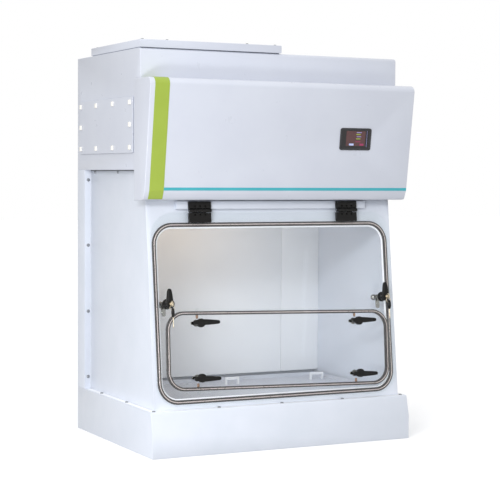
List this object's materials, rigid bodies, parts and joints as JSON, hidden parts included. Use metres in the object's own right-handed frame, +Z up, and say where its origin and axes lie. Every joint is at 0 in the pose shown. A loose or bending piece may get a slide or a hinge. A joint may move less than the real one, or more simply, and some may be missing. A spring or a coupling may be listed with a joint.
{
  "type": "fume hood",
  "caption": "Benchtop filtration fume hood: white sheet chamber on a plinth, slanted clear door with a latched hatch, overhanging fascia with a display, filter and fan head.",
  "frame": {"origin": "middle of the footprint, on the surface the plinth stands on", "axes": "+Z up, +X to the right of a user who stands in front, -Y towards that user"},
  "size_m": [0.8168, 0.57, 1.118],
  "materials": {
    "white_polypropylene": "satin white welded sheet",
    "white_cap": "moulded gloss white",
    "green_vinyl": "printed self-adhesive film",
    "teal_vinyl": "printed self-adhesive film",
    "black_bezel": "fine moulded texture",
    "display_glass": "polished display window",
    "clear_acrylic": "clear cast sheet with polished edges",
    "seal_rubber": "extruded edge seal",
    "black_nylon": "moulded glass-filled nylon",
    "zinc_steel": "bright zinc plate",
    "bronze": "tumbled bronze",
    "chrome_steel": "polished chrome plate",
    "key_nickel": "nickel plate, worn",
    "filter_frame": "moulded frame",
    "filter_mat": "needled fibre mat",
    "foam_gasket": "closed-cell foam",
    "galvanised_sheet": "galvanised sheet",
    "motor_black": "black powder coat",
    "board_green": "solder mask",
    "lamp_diffuser": "opal diffuser",
    "inlet_black": "moulded"
  },
  "bodies": {
    "cabinet": {"access_caps": "white_cap", "access_panel": "white_polypropylene", "baffle_end": "white_polypropylene", "baffle_main": "white_polypropylene", "base_plate": "white_polypropylene", "chamber_ceiling": "white_polypropylene", "control_board": "board_green", "deck": "white_polypropylene", "display_bezel": "black_bezel", "display_glass": "display_glass", "door_seal": "seal_rubber", "fan_bracket": "galvanised_sheet", "fan_deck": "galvanised_sheet", "fan_motor": "motor_black", "fascia": "white_polypropylene", "filter_gasket": "foam_gasket", "filter_rails": "galvanised_sheet", "front_frame": "white_polypropylene", "green_band": "green_vinyl", "head_shell": "white_polypropylene", "hinge_fixed_leaves": "black_nylon", "hinge_pins": "zinc_steel", "hinge_rail": "white_polypropylene", "lamp": "lamp_diffuser", "lid_gasket": "foam_gasket", "lid_screws": "zinc_steel", "main_filter": "filter_frame", "panel_screws": "zinc_steel", "plinth": "white_polypropylene", "power_inlet": "inlet_black", "prefilter": "filter_mat", "rear_plenum": "white_polypropylene", "side_panel_left": "white_polypropylene", "side_panel_right": "white_polypropylene", "teal_band": "teal_vinyl", "top_lid": "white_polypropylene"},
    "door": {"door_sheet": "clear_acrylic", "hatch_seal": "seal_rubber", "hinge_door_leaves": "black_nylon", "hatch_keepers": "bronze"},
    "hatch": {"hatch_pane": "clear_acrylic"},
    "latch_upper_left": {"latch_knob_upper_left": "black_nylon", "latch_cam_upper_left": "chrome_steel"},
    "latch_upper_right": {"latch_knob_upper_right": "black_nylon", "latch_cam_upper_right": "chrome_steel"},
    "latch_lower_left": {"latch_knob_lower_left": "black_nylon", "latch_cam_lower_left": "chrome_steel"},
    "latch_lower_right": {"latch_knob_lower_right": "black_nylon", "latch_cam_lower_right": "chrome_steel"},
    "side_latch_left": {"side_handle_left": "black_nylon", "side_cam_left": "chrome_steel"},
    "key_left": {"lock_key_left": "key_nickel", "spare_key_left": "key_nickel"},
    "side_latch_right": {"side_handle_right": "black_nylon", "side_cam_right": "chrome_steel"},
    "key_right": {"lock_key_right": "key_nickel", "spare_key_right": "key_nickel"},
    "tray": {"spill_tray": "white_polypropylene", "tray_handles": "white_polypropylene"},
    "impeller": {"fan_impeller": "galvanised_sheet"}
  },
  "joints": [
    {"name": "door_hinge", "type": "hinge", "parent": "cabinet", "child": "door", "pos_m": [0, -0.20968, 0.65667], "axis": [-1, 0, 0], "range_deg": [0, 110]},
    {"name": "hatch_lift_off", "type": "slide", "parent": "door", "child": "hatch", "axis": [0, -0.9933, 0.1156], "range_m": [0, 0.024]},
    {"name": "latch_upper_left_turn", "type": "hinge", "parent": "hatch", "child": "latch_upper_left", "pos_m": [-0.24508, -0.22656, 0.3517], "axis": [0, 0.9933, -0.1156], "range_deg": [0, 90]},
    {"name": "latch_upper_right_turn", "type": "hinge", "parent": "hatch", "child": "latch_upper_right", "pos_m": [0.24877, -0.22795, 0.33972], "axis": [0, 0.9933, -0.1156], "range_deg": [0, 90]},
    {"name": "latch_lower_left_turn", "type": "hinge", "parent": "hatch", "child": "latch_lower_left", "pos_m": [-0.24871, -0.24372, 0.20425], "axis": [0, -0.9933, 0.1156], "range_deg": [0, 90]},
    {"name": "latch_lower_right_turn", "type": "hinge", "parent": "hatch", "child": "latch_lower_right", "pos_m": [0.24514, -0.24512, 0.19226], "axis": [0, -0.9933, 0.1156], "range_deg": [0, 90]},
    {"name": "side_latch_left_turn", "type": "hinge", "parent": "door", "child": "side_latch_left", "pos_m": [-0.337, -0.22033, 0.40521], "axis": [0, 0.9933, -0.1156], "range_deg": [0, 90]},
    {"name": "key_left_turn", "type": "hinge", "parent": "side_latch_left", "child": "key_left", "pos_m": [-0.337, -0.22033, 0.40521], "axis": [0, -0.9933, 0.1156], "range_deg": [0, 90]},
    {"name": "side_latch_right_turn", "type": "hinge", "parent": "door", "child": "side_latch_right", "pos_m": [0.337, -0.22033, 0.40521], "axis": [0, -0.9933, 0.1156], "range_deg": [0, 90]},
    {"name": "key_right_turn", "type": "hinge", "parent": "side_latch_right", "child": "key_right", "pos_m": [0.337, -0.22033, 0.40521], "axis": [0, 0.9933, -0.1156], "range_deg": [0, 90]},
    {"name": "tray_lift", "type": "slide", "parent": "cabinet", "child": "tray", "axis": [0, 0, 1], "range_m": [0, 0.05]},
    {"name": "fan_spin", "type": "hinge", "parent": "cabinet", "child": "impeller", "pos_m": [-0.187, -0.01, 1], "axis": [0, 0, 1], "continuous": true}
  ]
}
